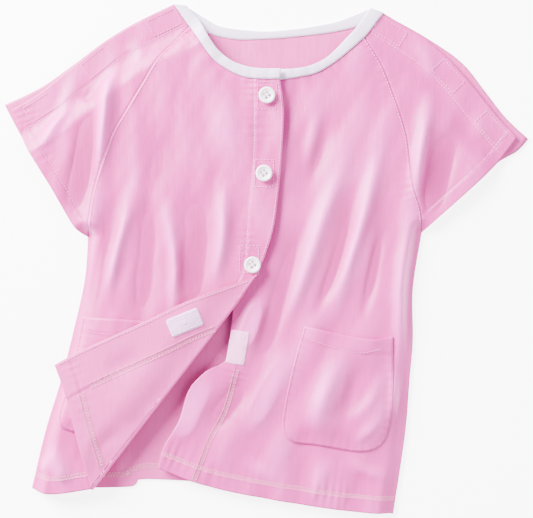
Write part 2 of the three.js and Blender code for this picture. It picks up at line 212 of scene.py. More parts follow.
# ---------------------------------------------------------------- height of the cloth
# soft folds: path, half width, height
FOLDS_LEFT = [
    ([(80, 165), (70, 88), (51, 37), (25, -38), (2, -95)], 8, 3.0),
    ([(114, 165), (104, 107), (92, 56), (73, -7), (55, -70)], 7, 3.2),
    ([(128, 90), (129, 25), (123, -20), (122, -110)], 7, 2.4),
    ([(47, 160), (44, 120), (34, 70)], 6, 1.2),
    ([(88, 80), (63, -7), (36, -66)], 6, -2.4),
    ([(110, 60), (95, -20), (84, -64)], 5, -1.8),
    ([(36, 45), (13, -32), (-10, -105)], 9, -2.4),
    ([(62, 150), (52, 110), (38, 60)], 7, -1.2),
    ([(-2, -30), (-16, -66), (-24, -84)], 7, 2.4),
    ([(-44, -96), (-62, -124), (-80, -170)], 10, 1.7),
    ([(-12, -105), (-34, -130), (-52, -162)], 9, -2.0),
    ([(22, -70), (4, -120), (-16, -165)], 9, 1.8),
    ([(108, -85), (116, -110), (112, -150)], 4, 1.4),
    ([(66, -178), (92, -192), (114, -196)], 6, 0.9),
    ([(54, -175), (48, -198), (44, -220)], 7, 0.9),
    ([(-36, -176), (-4, -192), (18, -208)], 7, 0.7),
]
FOLDS_RIGHT = [
    ([(-26, 160), (-38, 120), (-36, 70)], 12, 1.0),
    ([(-34, 95), (-38, 55), (-40, 15), (-50, -40)], 6, 2.2),
    ([(-92, 70), (-86, 25), (-82, -12), (-86, -60)], 5, 2.2),
    ([(-116, 85), (-126, 40), (-136, 0), (-146, -50)], 5, 2.2),
    ([(-146, 88), (-158, 35), (-166, -15), (-180, -90)], 6, 2.6),
    ([(-58, 90), (-62, 30), (-66, -15), (-72, -60)], 10, -2.6),
    ([(-100, 80), (-106, 20), (-110, -20), (-116, -70)], 8, -2.2),
    ([(-132, 80), (-144, 20), (-152, -20), (-162, -80)], 6, -1.8),
    ([(-90, 130), (-98, 90), (-104, 50)], 12, -1.0),
    ([(-196, -165), (-186, -190), (-178, -205)], 7, 1.8),
    ([(-206, -175), (-202, -195)], 6, 1.6),
]
FOLDS_SLEEVE_RIGHT = [
    ([(-130, 212), (-142, 164), (-146, 126), (-154, 60)], 6, 3.6),
    ([(-164, 190), (-180, 145), (-199, 107), (-206, 90)], 6, 3.0),
    ([(-154, 150), (-163, 100), (-170, 60), (-176, 30)], 9, -3.2),
    ([(-126, 198), (-110, 180)], 6, 1.8),
    ([(-158, 160), (-166, 140)], 6, -1.6),
]
FOLDS_SLEEVE_LEFT = [
    ([(126, 200), (145, 183), (152, 157)], 6, 2.2),
    ([(152, 165), (143, 120), (137, 85), (134, 45)], 6, 3.2),
    ([(168, 135), (162, 100), (152, 65), (144, 30)], 9, -3.2),
    ([(186, 140), (192, 122), (196, 104)], 7, 1.6),
]
FOLDS_POCKET = [
    ([(68, -68), (58, -105), (46, -140), (40, -162)], 8, 1.7),
    ([(108, -96), (92, -130), (68, -152)], 5, 0.9),
    ([(110, -124), (98, -150), (74, -168)], 4, 0.7),
    ([(82, -80), (76, -120), (64, -150)], 6, -1.0),
]
FOLDS_BACK = [([(-70, -150), (-85, -180), (-90, -205)], 7, 2.0), ([(-130, -170), (-140, -205)], 8, 1.4)]
FOLDS_FLAP = [
    ([(-70, -90), (-110, -120), (-150, -140)], 16, 0.5),
    ([(-100, -80), (-150, -105)], 9, -0.8),
    ([(-176, -110), (-166, -150)], 7, 0.3),
    ([(-120, -150), (-145, -165), (-160, -180)], 8, -0.8),
]


def folds(xy, table):
    """Height of the long folds; each starts wide and low."""
    z = np.zeros(xy.shape[:-1])
    for points, width, height in table:
        line = spline(points, 24)
        off, along = distance(line, xy)
        total = length(line)
        start = ease(1.8 * along / total)
        end = ease(2.6 * (1 - along / total))
        spread = width * (1.5 - 0.5 * start)
        z += FOLD_GAIN * height * start * end * np.exp(-(off / spread) ** 2)
    return z


def waves(xy, seed, turn, amplitude):
    """Faint long wrinkles, mostly across the given direction."""
    rng = np.random.default_rng(seed)
    z = np.zeros(xy.shape[:-1])
    for _ in range(18):
        size = rng.uniform(9, 55)
        angle = turn + rng.normal(0, 0.25)
        k = 2 * np.pi / size
        phase = xy[..., 0] * math.cos(angle) * k + xy[..., 1] * math.sin(angle) * k
        sway = 1.6 * np.sin(xy[..., 1] / rng.uniform(35, 80) + rng.uniform(0, 6))
        z += amplitude * (size / 55) * np.sin(phase + sway + rng.uniform(0, 6)) / 3
    return z


def puckers(xy, line, reach=7.0, pitch=6.5, height=0.3):
    """Small uneven gathers beside a sewn line, with a groove on the line itself."""
    off, along = distance(line, xy)
    uneven = np.clip(np.sin(along / 23 + 1.0) + 0.7 * np.sin(along / 8.3 + 2.0), 0, 1)
    wobble = np.sin(2 * np.pi * along / pitch + 2.6 * np.sin(along / 13)) * (0.2 + 0.8 * uneven)
    near = np.exp(-off / reach)
    return height * wobble * near * np.minimum(1, off / 1.2) - 0.45 * np.exp(-(off / 0.9) ** 2)


def doubled(xy, line, width, rise=0.55):
    """The extra layers of a hem or facing lying within width of an edge."""
    off, _ = distance(line, xy)
    return rise * ease((width + 0.7 - off) / 1.4)


def step(xy, line, side, rise=0.7):
    """The extra layer on one side of a seam that runs down the front; it fades out above the seam's top."""
    seam_x = np.interp(-xy[..., 1], -line[:, 1], line[:, 0])
    below_top = ease((line[0, 1] - xy[..., 1]) / 12 + 1)
    return rise * ease(side * (xy[..., 0] - seam_x) / 1.4 + 0.5) * below_top


def side_height(xy, side):
    """Height of one side without its folds: low along the shoulder and the side seam, full between."""
    full, shoulder, seam = (
        (RIGHT_Z, L["shoulder_right"], L["side_right"]) if side < 0
        else (LEFT_Z, L["shoulder_left"], L["side_left"]))
    top = SHOULDER_LOW + (full - SHOULDER_LOW) * ease((distance(shoulder, xy)[0] - SHOULDER_OVERLAP) / 22)
    low = SEAM_LOW + (full - SEAM_LOW) * ease(distance(seam, xy)[0] / SIDE_ROLL)
    return np.minimum(top, low)


PLACKET_SEAM_RIGHT = L["placket_seam_right"]
PLACKET_SEAM_LEFT = L["facing_seam_left"]
SHOULDER_SEAM_RIGHT = inset(L["shoulder_right"], SHOULDER_OVERLAP - 1)
SHOULDER_SEAM_LEFT = inset(L["shoulder_left"], 1 - SHOULDER_OVERLAP)
HEM_SEAM_LEFT = inset(L["hem_left"], HEM)
HEM_SEAM_RIGHT = inset(L["hem_right"], HEM)
FACING_SEAM = inset(L["flap_edge"], FACING)
FLAP_HEM_SEAM = inset(L["flap_hem"], HEM)
CUFF_SEAM_RIGHT = inset(L["cuff_right"], CUFF_HEM)
CUFF_SEAM_LEFT = inset(L["cuff_left"], -CUFF_HEM)
HEM_SEAM_BACK = inset(L["hem_back"], BACK_HEM)


# the drape heights of the fronts also set their painted fold shading
def front_drape(xy, side):
    """Folds and wrinkles of one side, shared by body and sleeve so that they meet at the raglan seam."""
    loose = ease(side_height(xy, side) / 9)
    if side < 0:
        loose = loose * ease(distance(L["crease"], xy)[0] / 18)
        return loose * (folds(xy, FOLDS_RIGHT + FOLDS_SLEEVE_RIGHT) + waves(xy, 3, 0.12, 0.7))
    return loose * (folds(xy, FOLDS_LEFT + FOLDS_SLEEVE_LEFT) + waves(xy, 5, -0.2, 0.8))


def front_height(xy, side):
    ground = side_height(xy, side)
    z = ground + front_drape(xy, side) + puckers(xy, L["raglan_right" if side < 0 else "raglan_left"], 7)
    # the cloth never sinks into the layer underneath
    return np.maximum(z, np.maximum(ground - FOLD_DEPTH, np.minimum(ground, FOLD_FLOOR)))


def z_right(xy):
    z = front_height(xy, -1)
    z += step(xy, PLACKET_SEAM_RIGHT, 1) + doubled(xy, L["hem_right"], HEM)
    z += puckers(xy, PLACKET_SEAM_RIGHT) + puckers(xy, HEM_SEAM_RIGHT)
    return z + puckers(xy, L["neck_right"], 12, 11, 0.7)


def z_left(xy):
    z = front_height(xy, 1)
    z += step(xy, PLACKET_SEAM_LEFT, -1) + doubled(xy, L["hem_left"], HEM)
    z += puckers(xy, PLACKET_SEAM_LEFT) + puckers(xy, HEM_SEAM_LEFT, 10, 8, 0.6)
    z += puckers(xy, L["neck_left"], 12, 11, 0.7)
    # low enough for the corner flap to close over it
    under_flap = ease((25 - xy[..., 0]) / 40) * ease((-5 - xy[..., 1]) / 30)
    return z - under_flap * np.maximum(0, z - UNDER_FLAP_Z)


def z_sleeve_right(xy):
    z = front_height(xy, -1) + puckers(xy, CUFF_SEAM_RIGHT) + doubled(xy, L["cuff_right"], CUFF_HEM)
    return z + puckers(xy, SHOULDER_SEAM_RIGHT, 5, 7, 0.2)


def z_sleeve_left(xy):
    z = front_height(xy, 1) + puckers(xy, CUFF_SEAM_LEFT) + doubled(xy, L["cuff_left"], CUFF_HEM)
    return z + puckers(xy, SHOULDER_SEAM_LEFT, 5, 7, 0.2)


def z_back(xy):
    z = 0.7 + 0.25 * (waves(xy, 11, 0.1, 0.6) + 0.6)
    z += doubled(xy, L["hem_back"], BACK_HEM, 0.5) + np.maximum(0, folds(xy, FOLDS_BACK))
    return np.maximum(z, 0.35)


def z_flap(xy):
    from_crease = distance(L["crease"], xy)[0]
    z = CREASE_Z + (FLAP_Z - CREASE_Z) * ease(from_crease / 30)
    z += ease(from_crease / 18) * (0.6 * waves(xy, 13, 0.9, 0.6) + folds(xy, FOLDS_FLAP))
    z += doubled(xy, L["flap_edge"], FACING, 0.7) + doubled(xy, L["flap_hem"], HEM, 0.6)
    z += puckers(xy, FACING_SEAM, 6, 7) + puckers(xy, FLAP_HEM_SEAM, 6, 7)
    return z


def pocket_height(below, outline, top):
    """Height of a patch pocket sewn on the cloth below, standing a little off it in the middle."""
    def groove(off):
        return 0.35 * np.exp(-(off / 0.7) ** 2)

    def z(xy):
        off, along = distance(outline, xy)
        mouth, _ = distance(top, xy)
        puff = 3.6 * ease(off / 22) * (0.75 + 0.25 * ease((60 - mouth) / 60))
        sewn = 0.35 * np.sin(2 * np.pi * along / 7.5) * np.exp(-off / 7) * ease(off / 2)
        creases = folds(xy, FOLDS_POCKET) * ease(off / 9)
        return (below(xy) + 1.1 + puff + sewn + creases + doubled(xy, top, POCKET_HEM, 0.45)
                - groove(off - 2.2) - groove(mouth - POCKET_HEM))
    return z


# ---------------------------------------------------------------- meshes
def mesh_object(name, verts, faces, look):
    data = bpy.data.meshes.new(name)
    data.from_pydata([tuple(float(c) * MM for c in v) for v in verts], [], faces)
    data.validate()
    data.update()
    data.shade_smooth()
    data.materials.append(look)
    obj = bpy.data.objects.new(name, data)
    bpy.context.scene.collection.objects.link(obj)
    return obj


def coons(top, bottom, left, right):
    """Grid of points inside four lines; left and right run from top to bottom."""
    n, m = len(top), len(left)
    u = np.linspace(0, 1, n)[None, :, None]
    v = np.linspace(0, 1, m)[:, None, None]
    ruled = (1 - v) * top[None] + v * bottom[None] + (1 - u) * left[:, None] + u * right[:, None]
    corners = ((1 - u) * (1 - v) * top[0] + u * (1 - v) * top[-1]
               + (1 - u) * v * bottom[0] + u * v * bottom[-1])
    return ruled - corners


def grid_faces(rows, cols, start=0):
    return [(start + r * cols + c, start + (r + 1) * cols + c, start + (r + 1) * cols + c + 1,
             start + r * cols + c + 1) for r in range(rows - 1) for c in range(cols - 1)]


def cloth_sheet(name, xyz, look, drape=None):
    """One layer of cloth. Ridges of the drape get a painted highlight and its valleys painted shade, stored
    per point for the cloth material.
    """
    rows, cols = xyz.shape[:2]
    faces = grid_faces(rows, cols)
    obj = mesh_object(name, xyz.reshape(-1, 3), faces, look)
    # painted highlight on the drape's ridges, painted shade in its valleys; an even middle where no drape is
    # given
    painted_fold_shading = np.full(rows * cols, 0.5) if drape is None else 0.5 + 0.5 * np.tanh(drape.ravel() / FOLD_SHADING_REACH)
    obj.data.attributes.new("painted_fold_shading", "FLOAT", "POINT").data.foreach_set("value", painted_fold_shading.astype(np.float32))
    if obj.data.polygons[len(faces) // 2].normal.z < 0:
        obj.data.flip_normals()
    thick = obj.modifiers.new("cloth", "SOLIDIFY")
    thick.thickness = CLOTH * MM
    thick.offset = -1
    return obj


def lift(xy, height):
    return np.dstack([xy, height(xy)])


def level(z):
    """A height function that is the same everywhere."""
    return lambda xy: z + 0 * xy[..., 0]


def ribbon(name, outer, inner, height, thickness, look, rings=8):
    """A flat-sided tube that fills the strip between two lines, such as a folded binding."""
    n = len(outer)
    verts = []
    for k in range(rings * 2):
        a = 2 * np.pi * k / (rings * 2)
        across = 0.5 - 0.5 * math.copysign(abs(math.cos(a)) ** 0.45, math.cos(a))
        up = math.copysign(abs(math.sin(a)) ** 0.7, math.sin(a)) * thickness / 2
        xy = outer + across * (inner - outer)
        verts.append(np.column_stack([xy, height(xy) + thickness / 2 + up]))
    count = len(verts)
    verts = np.array(verts)
    faces = []
    for k in range(count):
        for i in range(n - 1):
            j = (k + 1) % count
            faces.append((k * n + i, k * n + i + 1, j * n + i + 1, j * n + i))
    faces.append(tuple(k * n for k in range(count)))
    faces.append(tuple(k * n + n - 1 for k in reversed(range(count))))
    obj = mesh_object(name, verts.reshape(-1, 3), faces, look)
    outward(obj)
    return obj


def outward(obj):
    b = bmesh.new()
    b.from_mesh(obj.data)
    bmesh.ops.recalc_face_normals(b, faces=b.faces)
    b.to_mesh(obj.data)
    b.free()


def stitches(name, runs, look, thread):
    """Many small stitches in one mesh. runs is [(3-D path, pitch, stitch length, sideways swing)]."""
    verts, faces = [], []
    for path, pitch, size, swing in runs:
        total = length(path)
        count = max(1, int(total / pitch))
        fine = even(path, count * 2)
        for i in range(count):
            a, b = fine[2 * i], fine[2 * i + 1]
            d = b - a
            d /= np.linalg.norm(d) + 1e-9
            if swing:
                head = np.array([-d[1], d[0], 0.0]) * swing / 2 * (1 if i % 2 else -1)
                add_stitch(verts, faces, a - head, a + d * pitch + head, thread)
            else:
                add_stitch(verts, faces, a, a + d * size, thread)
    return mesh_object(name, verts, faces, look)


def add_stitch(verts, faces, a, b, thread):
    """A short six-sided thread from a to b with tapered ends."""
    d = b - a
    size = np.linalg.norm(d) + 1e-9
    d = d / size
    side = np.cross(d, (0, 0, 1.0))
    side /= np.linalg.norm(side) + 1e-9
    up = np.cross(side, d)
    start = len(verts)
    for t, r in ((0, 0.35), (0.2, 1), (0.8, 1), (1, 0.35)):
        for k in range(6):
            angle = math.pi * k / 3
            round_it = side * math.cos(angle) + up * math.sin(angle)
            verts.append(a + d * size * t + round_it * r * thread / 2)
    for ring in range(3):
        for k in range(6):
            i, j = start + ring * 6 + k, start + ring * 6 + (k + 1) % 6
            faces.append((i, j, j + 6, i + 6))
    faces.append(tuple(start + k for k in reversed(range(6))))
    faces.append(tuple(start + 18 + k for k in range(6)))


def on(line, height, raise_by=0.4):
    """A flat line laid on a cloth surface."""
    line = even(line, max(20, int(length(line) / 2)))
    return np.column_stack([line, height(line) + raise_by])


def frame_box(centre, turn, half_long, half_wide, height):
    """The four sides of a box stitch, laid on the cloth."""
    c, s = math.cos(turn), math.sin(turn)
    corners = []
    for along, across in ((1, 1), (-1, 1), (-1, -1), (1, -1)):
        x, y = along * half_long, across * half_wide
        corners.append(np.array([centre[0] + x * c - y * s, centre[1] + x * s + y * c]))
    return [on(np.array([corners[i], corners[(i + 1) % 4]]), height) for i in range(4)]


# ---------------------------------------------------------------- materials
def principled(name, color, roughness):
    mat = bpy.data.materials.new(name)
    mat.use_nodes = True
    shader = mat.node_tree.nodes["Principled BSDF"]
    shader.inputs["Base Color"].default_value = (*color, 1)
    shader.inputs["Roughness"].default_value = roughness
    return mat, mat.node_tree, shader


def weave_bump(tree, shader):
    """Fine crossed threads over a long soft crinkle, both as bumps."""
    where = tree.nodes.new("ShaderNodeTexCoord")
    heights = []
    for direction in ("X", "Y"):
        wave = tree.nodes.new("ShaderNodeTexWave")
        wave.bands_direction = direction
        wave.inputs["Scale"].default_value = 900
        wave.inputs["Distortion"].default_value = 1.2
        wave.inputs["Detail"].default_value = 1.0
        tree.links.new(where.outputs["Object"], wave.inputs["Vector"])
        heights.append(wave.outputs["Fac"])
    both = tree.nodes.new("ShaderNodeMath")
    both.operation = "ADD"
    tree.links.new(heights[0], both.inputs[0])
    tree.links.new(heights[1], both.inputs[1])
    bump = tree.nodes.new("ShaderNodeBump")
    bump.inputs["Strength"].default_value = 0.25
    bump.inputs["Distance"].default_value = 0.0001
    crinkle = tree.nodes.new("ShaderNodeTexNoise")
    crinkle.inputs["Scale"].default_value = 140
    crinkle.inputs["Detail"].default_value = 4
    crinkle.inputs["Roughness"].default_value = 0.62
    along = tree.nodes.new("ShaderNodeMapping")
    along.inputs["Scale"].default_value = (1, 0.22, 1)
    along.inputs["Rotation"].default_value = (0, 0, 0.1)
    tree.links.new(where.outputs["Object"], along.inputs["Vector"])
    tree.links.new(along.outputs["Vector"], crinkle.inputs["Vector"])
    soft = tree.nodes.new("ShaderNodeBump")
    soft.inputs["Strength"].default_value = 0.3
    soft.inputs["Distance"].default_value = 0.002
    tree.links.new(crinkle.outputs["Fac"], soft.inputs["Height"])
    tree.links.new(soft.outputs["Normal"], bump.inputs["Normal"])
    tree.links.new(both.outputs[0], bump.inputs["Height"])
    tree.links.new(bump.outputs["Normal"], shader.inputs["Normal"])
    return where


def cloth_material(name, pale_highlight_and_mottle, middle, deep_shade_and_mottle, roughness=0.38, sheen=0.06):
    """Woven cloth, coloured from deep painted shade to pale painted highlight by the sheet's painted fold
    shading, plus a little noise for random tone.
    """
    mat, tree, shader = principled(name, middle, roughness)
    where = weave_bump(tree, shader)
    noise = tree.nodes.new("ShaderNodeTexNoise")
    noise.inputs["Scale"].default_value = 22
    noise.inputs["Detail"].default_value = 5
    tree.links.new(where.outputs["Object"], noise.inputs["Vector"])
    # the sheet's painted fold shading sets three quarters of the ramp's factor, the noise the rest
    painted_fold_shading = tree.nodes.new("ShaderNodeAttribute")
    painted_fold_shading.attribute_name = "painted_fold_shading"
    mixed = tree.nodes.new("ShaderNodeMix")
    mixed.inputs["Factor"].default_value = 0.75
    tree.links.new(noise.outputs["Fac"], mixed.inputs["A"])
    tree.links.new(painted_fold_shading.outputs["Fac"], mixed.inputs["B"])
    # ramp from painted shade through the middle colour to painted highlight
    ramp = tree.nodes.new("ShaderNodeValToRGB")
    ramp.color_ramp.elements[0].position = 0.2
    ramp.color_ramp.elements[0].color = (*deep_shade_and_mottle, 1)
    ramp.color_ramp.elements[1].position = 0.8
    ramp.color_ramp.elements[1].color = (*pale_highlight_and_mottle, 1)
    ramp.color_ramp.elements.new(0.5).color = (*middle, 1)
    tree.links.new(mixed.outputs["Result"], ramp.inputs["Fac"])
    tree.links.new(ramp.outputs["Color"], shader.inputs["Base Color"])
    shader.inputs["Sheen Weight"].default_value = sheen
    shader.inputs["Sheen Roughness"].default_value = 0.35
    shader.inputs["Sheen Tint"].default_value = (1.0, 0.72, 0.9, 1)
    shader.inputs["Specular IOR Level"].default_value = 0.4
    return mat


def tape_material(name, color):
    """Hook-and-loop tape, rough and matt."""
    mat, tree, shader = principled(name, color, 0.9)
    where = tree.nodes.new("ShaderNodeTexCoord")
    noise = tree.nodes.new("ShaderNodeTexNoise")
    noise.inputs["Scale"].default_value = 900
    tree.links.new(where.outputs["Object"], noise.inputs["Vector"])
    bump = tree.nodes.new("ShaderNodeBump")
    bump.inputs["Strength"].default_value = 0.6
    bump.inputs["Distance"].default_value = 0.0004
    tree.links.new(noise.outputs["Fac"], bump.inputs["Height"])
    tree.links.new(bump.outputs["Normal"], shader.inputs["Normal"])
    shader.inputs["Sheen Weight"].default_value = 0.4
    return mat


TAPE_SOFT = tape_material("loop_tape_soft", (0.86, 0.32, 0.66))
# cloth colours: the pale end is the painted highlight, the deep end the painted shade, both also reached a
# little by the noise
PINK = cloth_material("pink_cloth", (0.84, 0.125, 0.53), (0.62, 0.040, 0.31), (0.43, 0.022, 0.20))
# the cloth's inside face, made lighter as painted fill light against the shadow in the opening under the
# turned-back corner
PINK_INSIDE_PAINTED_FILL = cloth_material("pink_cloth_inside_painted_fill", (0.70, 0.08, 0.38), (0.64, 0.060, 0.32),
                             (0.56, 0.045, 0.25), 0.55)
PINK_FLAP = cloth_material("pink_cloth_turned", (0.78, 0.095, 0.43), (0.70, 0.064, 0.36),
                           (0.60, 0.050, 0.30), 0.5)
BINDING = cloth_material("white_binding", (0.82, 0.70, 0.90), (0.79, 0.66, 0.87),
                         (0.72, 0.58, 0.80), 0.6, 0.05)
TAPE = tape_material("hook_and_loop", (0.80, 0.40, 0.78))
THREAD = principled("pink_thread", (0.88, 0.26, 0.62), 0.6)[0]
THREAD_PALE = principled("pale_thread", (0.84, 0.31, 0.52), 0.6)[0]
# real topstitching round the pocket, coloured dark as painted shade of the groove along the pocket edge
THREAD_GROOVE_SHADE = principled("deep_pink_thread_painted_groove_shade", (0.42, 0.045, 0.20), 0.6)[0]
THREAD_BUTTON = principled("button_thread", (0.58, 0.42, 0.58), 0.6)[0]
THREAD_WHITE = principled("white_thread", (0.88, 0.74, 0.88), 0.6)[0]
BUTTON = principled("button_white", (0.93, 0.84, 0.93), 0.22)[0]

# ---------------------------------------------------------------- each piece's bend line, read but not applied, and how pieces are carried
BENDS = {
    # body: the body it joins, two points on the line where the bend starts, and how far across it runs
    "right_front": ("gown_body", (-70, 211), (-187, -111), 22),
    "left_front": ("gown_body", (89, 201), (130, -109), -22),
    "right_sleeve_front": ("gown_body", (-74, 214), (-175, 40), -20),
    "left_sleeve_front": ("gown_body", (92, 203), (150, 50), 20),
}


def bend(obj, body):
    """Bake a piece's placement into its mesh; its bend line is looked up but no bend is made."""
    fixed, a, b, across = BENDS[body]
    a, b = np.array(a, float), np.array(b, float)
    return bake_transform(obj)


def carry(obj, body):
    """Bake a piece in place if its body has a bend line, or else ride it on that body."""
    if body in BENDS:
        bend(obj, body)
    else:
        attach(obj, body)


def declare(nodes):
    """Hide the CAD nodes that a sheet stands for."""
    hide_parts(*nodes)


def thread_piece(name, runs, look, thickness, body):
    """Stitches carried like the pieces of one body: baked in place where that body has a bend line, else
    ridden on it.
    """
    obj = stitches(name, runs, look, thickness)
    carry(obj, body)


def plain_run(line, height, raise_by=0.4):
    """One row of plain stitches along a line on a surface."""
    return on(line, height, raise_by), STITCH_PITCH, STITCH, 0


# ---------------------------------------------------------------- the pieces
def back_cloth():
    """The whole back, from the neck between the raglan seams down to its hem."""
    between_raglans = even(L["neck_back_low"], 110)[12:-10]
    top = even(between_raglans, 90)
    left = joined("raglan_right", "side_right", n=130)
    right = joined("raglan_left", "side_left", n=130)
    top[0], top[-1] = left[0], right[0]
    bottom = even(L["hem_back"], 90)
    right[-1] = bottom[-1]
    xy = coons(top, bottom, left, right)
    # the back uses the inside colour lightened as painted fill light
    obj = cloth_sheet("back_cloth", lift(xy, z_back), PINK_INSIDE_PAINTED_FILL)
    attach(obj, "gown_body")
    declare(["back_panel", "back_hem"])


def underarm(raglan, count):
    """The last point of the raglan seam as a very short line, where a sleeve comes to a point."""
    return np.repeat(raglan[-1:], count, axis=0) + np.linspace(0, 1, count)[:, None] * 0.01


def sleeve_back(side):
    raglan, cuff, shoulder = L[f"raglan_{side}"], L[f"cuff_{side}_back"], L[f"shoulder_{side}_back"]
    top = even(np.vstack([raglan[:1], shoulder]), 50)
    xy = coons(top, underarm(raglan, 51), even(raglan, 60), even(cuff, 60))
    z = 0.8 + 0.2 * waves(xy, 21, 0, 0.6) + doubled(xy, cuff, CUFF_HEM, 0.4)
    obj = cloth_sheet(f"{side}_sleeve_back_cloth", np.dstack([xy, z]), PINK_INSIDE_PAINTED_FILL)
    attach(obj, "gown_body")
    declare([f"{side}_sleeve_back", f"{side}_cuff_hem_back"])


def sleeve_front(side):
    raglan, cuff, shoulder = L[f"raglan_{side}"], L[f"cuff_{side}"], L[f"shoulder_{side}"]
    height = z_sleeve_right if side == "right" else z_sleeve_left
    top = even(shoulder, 90)
    neck = even(np.vstack([raglan[0], shoulder[0]]), 10)
    left = even(np.vstack([neck[::-1], raglan]), 110)
    xy = coons(top, underarm(raglan, 91), left, even(cuff, 110))
    obj = cloth_sheet(f"{side}_sleeve_front_cloth", lift(xy, height), PINK, front_drape(xy, SIGN[side]))
    bend(obj, f"{side}_sleeve_front")
    declare([f"{side}_sleeve_front", f"{side}_cuff_hem_front"])


def front_cloth(side):
    if side == "right":
        top = even(L["neck_right"], 150)
        left = joined("raglan_right", "side_right", n=320)
        right = even(L["edge_right"], 320)
        bottom = joined("hem_right", "-crease", n=150)
        height = z_right
    else:
        top = even(L["neck_left"], 160)
        left = even(L["edge_left"], 320)
        right = joined("raglan_left", "side_left", n=320)
        bottom = even(L["hem_left"], 160)
        height = z_left
    xy = coons(top, bottom, left, right)
    obj = cloth_sheet(f"{side}_front_cloth", lift(xy, height), PINK, front_drape(xy, SIGN[side]))
    bend(obj, f"{side}_front")
    nodes = [f"{side}_front_panel", f"{side}_placket", f"{side}_front_hem", f"{side}_front_side"]
    declare(nodes)


def corner_flap():
    """The turned-back corner, with the roll of cloth that joins it to the layer below."""
    along, across, roll = 160, 80, 29
    top = even(L["flap_edge"], along)
    crease = even(L["crease"], along)
    hem = even(L["flap_hem"], across)
    d = crease[-1] - crease[0]
    d /= np.linalg.norm(d)
    # sideways from the crease, towards the corner
    out = np.array([d[1], -d[0]])
    if out[0] > 0:
        out = -out
    centre = crease + out * 1.6
    start = even(np.vstack([top[:1], centre[:1]]), across)
    xy = coons(top, centre, start, even(np.vstack([hem[:-1], centre[-1:]]), across))
    sheet = lift(xy, z_flap)
    edge = sheet[-1]
    low = z_right(edge[:, :2]) - 0.2
    rows = []
    radius = 2.9 * (0.25 + 0.75 * ease(np.linspace(0, 1, along + 1) * 7))
    for a in np.linspace(0, np.pi, roll + 1)[1:]:
        z = edge[:, 2] + (low - edge[:, 2]) * (1 - np.cos(a)) / 2
        rows.append(np.column_stack([edge[:, :2] - out * (np.sin(a) * radius)[:, None], z]))
    whole = np.concatenate([sheet, np.array(rows)])
    obj = cloth_sheet("corner_flap_cloth", whole, PINK_FLAP)
    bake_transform(obj)
    declare(["flap_panel", "flap_facing", "flap_hem"])


def pocket(side):
    bag, top = L[f"pocket_{side}_bag"], L[f"pocket_{side}_top"]
    below = z_left if side == "left" else z_right
    height = pocket_height(below, bag, top)
    third = (len(bag) - 1) // 3
    down, base, up = bag[:third + 1], bag[third:-third], bag[-third - 1:]
    xy = coons(even(top, 50), even(base, 50), even(down, 50), even(up[::-1], 50))
    # the pocket's drape heights, used only for its painted fold shading
    drape = front_drape(xy, SIGN[side]) + folds(xy, FOLDS_POCKET)
    obj = cloth_sheet(f"{side}_pocket_cloth", lift(xy, height), PINK, drape)
    bend(obj, f"{side}_front")
    declare([f"{side}_pocket"])
    middle = bag.mean(axis=0)
    edge_seam = middle + (bag - middle) * 0.965
    towards_middle = (middle - top) / np.linalg.norm(middle - top, axis=1)[:, None]
    hem_seam = middle + (top + POCKET_HEM * towards_middle - middle) * np.array([0.97, 1.0])
    # the edge row uses the dark thread that carries painted groove shade
    for part, line, look in (("edge", edge_seam, THREAD_GROOVE_SHADE), ("hem", hem_seam, THREAD)):
        runs = [plain_run(line, height, 0.25)]
        thread_piece(f"{side}_pocket_{part}_stitches", runs, look, 0.4, f"{side}_front")


def bindings():
    """The neck's bias binding: round the back, along each front, and at each shoulder end."""
    back = ribbon("back_binding", L["neck_back_up"], L["neck_back_low"], level(0.2), 2.2, BINDING)
    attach(back, "gown_body")
    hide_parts("back_neck_binding")
    for side, height in (("right", z_right), ("left", z_left)):
        strip = ribbon(f"{side}_front_binding", L[f"neck_{side}_in"], L[f"neck_{side}"],
                       lambda p, h=height: h(p) - 0.6, BINDING_THICKNESS, BINDING)
        bend(strip, f"{side}_front")
        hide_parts(f"{side}_neck_binding")
        outer, inner = even(L[f"neck_{side}"], 60), even(L[f"neck_{side}_in"], 60)
        sewn = on(outer + 0.16 * (inner - outer), height, 1.75)
        thread_piece(f"{side}_binding_stitches", [(sewn, 2.6, 1.9, 0)], THREAD_WHITE, 0.35, f"{side}_front")
    ends = {"right": ([(-72, 229.5), (-60.4, 216.2)], [(-84, 231), (-69.3, 210.2)], z_sleeve_right),
            "left": ([(94, 227.5), (79.3, 207.1)], [(106, 223), (88.3, 200.1)], z_sleeve_left)}
    for side, (inner, outer, height) in ends.items():
        strip = ribbon(f"{side}_shoulder_binding_end", even(np.array(inner, float), 20),
                       even(np.array(outer, float), 20), lambda p, h=height: h(p) - 0.3,
                       BINDING_THICKNESS, BINDING)
        bend(strip, f"{side}_sleeve_front")
        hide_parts(f"{side}_shoulder_binding")


